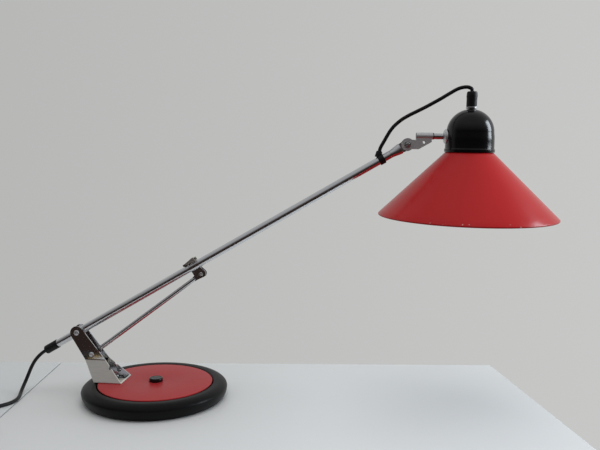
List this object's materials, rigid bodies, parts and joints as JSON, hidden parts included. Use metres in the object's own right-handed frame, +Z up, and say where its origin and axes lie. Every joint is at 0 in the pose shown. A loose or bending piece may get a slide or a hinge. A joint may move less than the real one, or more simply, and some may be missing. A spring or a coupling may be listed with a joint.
{
  "type": "desk lamp",
  "caption": "Architect desk lamp: weighted round base with a turntable, chrome arm braced by a sliding clutch strut, and a cone shade that tilts and rolls.",
  "frame": {"origin": "centre of the base's underside, on the table", "axes": "+X from the base along the arm towards the shade, +Z up"},
  "size_m": [0.9052, 0.3331, 0.481],
  "materials": {
    "felt": "dense black felt",
    "base_paint": "semi-gloss black enamel",
    "ballast_iron": "raw casting",
    "turntable_red": "satin red paint",
    "shade_red": "glossy red enamel",
    "chrome_sheet": "plated sheet",
    "chrome_tube": "bright chrome",
    "chrome_small": "plated small parts",
    "plated_steel": "zinc plated",
    "nylon": "natural nylon",
    "knob_black": "glossy black",
    "black_rubber": "soft black rubber",
    "cord_black": "black pvc sheath",
    "dome_gloss": "polished black",
    "bakelite": "moulded",
    "contact_ceramic": "unglazed",
    "bulb_metal": "rolled thread",
    "bulb_glass": "opal",
    "switch_black": "moulded",
    "rocker_black": "moulded",
    "plug_black": "moulded",
    "pin_brass": "nickelled brass"
  },
  "bodies": {
    "base": {"felt_pad": "felt", "base_ring": "base_paint", "ballast_weight": "ballast_iron", "swivel_bolt": "plated_steel", "swivel_nut": "plated_steel", "thrust_washer": "nylon", "centre_cap": "knob_black"},
    "turntable": {"turntable_disc": "turntable_red", "arm_bracket": "chrome_sheet", "bracket_screw_near": "plated_steel", "bracket_screw_far": "plated_steel", "bracket_nut_plate": "plated_steel", "pivot_screw_near": "chrome_small", "pivot_screw_far": "chrome_small", "strut_pin_near": "chrome_small", "strut_pin_far": "chrome_small", "mains_cord": "cord_black", "cord_bend": "cord_black", "cord_tail": "cord_black", "cord_coil": "cord_black", "switch_base": "switch_black", "switch_cover": "switch_black", "rocker_axle": "plated_steel", "plug_body": "plug_black", "plug_pin_left": "pin_brass", "plug_pin_right": "pin_brass"},
    "arm": {"arm_tube": "chrome_tube", "tail_cap": "black_rubber", "pivot_saddle_near": "nylon", "pivot_saddle_far": "nylon", "cable_grommet": "black_rubber", "inner_flex": "cord_black", "arm_end": "chrome_tube", "knuckle_rivet": "plated_steel"},
    "slider": {"slider_clip": "chrome_small", "slider_rivet": "plated_steel", "lever_pin": "plated_steel", "lever_spring": "plated_steel"},
    "clutch_lever": {"clutch_lever": "chrome_small"},
    "strut": {"strut_rod": "chrome_tube"},
    "link": {"head_link": "chrome_sheet", "knuckle_washer_near": "plated_steel", "knuckle_washer_far": "plated_steel", "flex_lower": "cord_black"},
    "head": {"head_rod": "chrome_tube", "fibre_washer": "black_rubber", "saddle_plate": "chrome_small", "rod_nut": "plated_steel", "dome_cap": "dome_gloss", "nipple_ring": "plated_steel", "entry_nipple": "plated_steel", "strain_relief": "black_rubber", "shade_cone": "shade_red", "lamp_holder": "bakelite", "holder_ring": "bakelite", "contact_block": "contact_ceramic", "bulb_cap": "bulb_metal", "bulb_glass": "bulb_glass", "flex_upper": "cord_black"},
    "rocker": {"switch_rocker": "rocker_black"}
  },
  "joints": [
    {"name": "base_swivel", "type": "hinge", "parent": "base", "child": "turntable", "pos_m": [0, 0, 0.0236], "axis": [0, 0, 1], "range_deg": [-180, 180]},
    {"name": "arm_tilt", "type": "hinge", "parent": "turntable", "child": "arm", "pos_m": [-0.1232, 0, 0.0968], "axis": [0, -1, 0], "range_deg": [-20, 35], "deforming": ["mains_cord"]},
    {"name": "clutch_slide", "type": "slide", "parent": "arm", "child": "slider", "axis": [0.8588, 0, 0.5123], "range_m": [-0.0243, 0.0139]},
    {"name": "lever_press", "type": "hinge", "parent": "slider", "child": "clutch_lever", "pos_m": [0.0436, 0, 0.20563], "axis": [0, 1, 0], "range_deg": [0, 7], "stiffness_Nm_per_rad": 0.05, "springref_deg": -8.59, "deforming": ["lever_spring"]},
    {"name": "strut_swing", "type": "hinge", "parent": "slider", "child": "strut", "pos_m": [0.07018, 0, 0.19366], "axis": [0, -1, 0], "range_deg": [-1, 1]},
    {"name": "head_tilt", "type": "hinge", "parent": "arm", "child": "link", "pos_m": [0.37549, 0, 0.39432], "axis": [0, -1, 0], "range_deg": [-28, 45], "deforming": ["flex_lower"]},
    {"name": "head_roll", "type": "hinge", "parent": "link", "child": "head", "pos_m": [0.44, 0, 0.40712], "axis": [1, 0, 0], "range_deg": [-75, 75], "deforming": ["flex_upper"]},
    {"name": "switch_rock", "type": "hinge", "parent": "turntable", "child": "rocker", "pos_m": [-0.255, -0.0898, 0.0146], "axis": [0, 1, 0], "range_deg": [0, 10]}
  ],
  "couplings": [
    {"joint": "clutch_slide", "follows": "arm_tilt", "m_per_rad": -0.0397},
    {"joint": "strut_swing", "follows": "arm_tilt", "ratio": -0.0093}
  ]
}
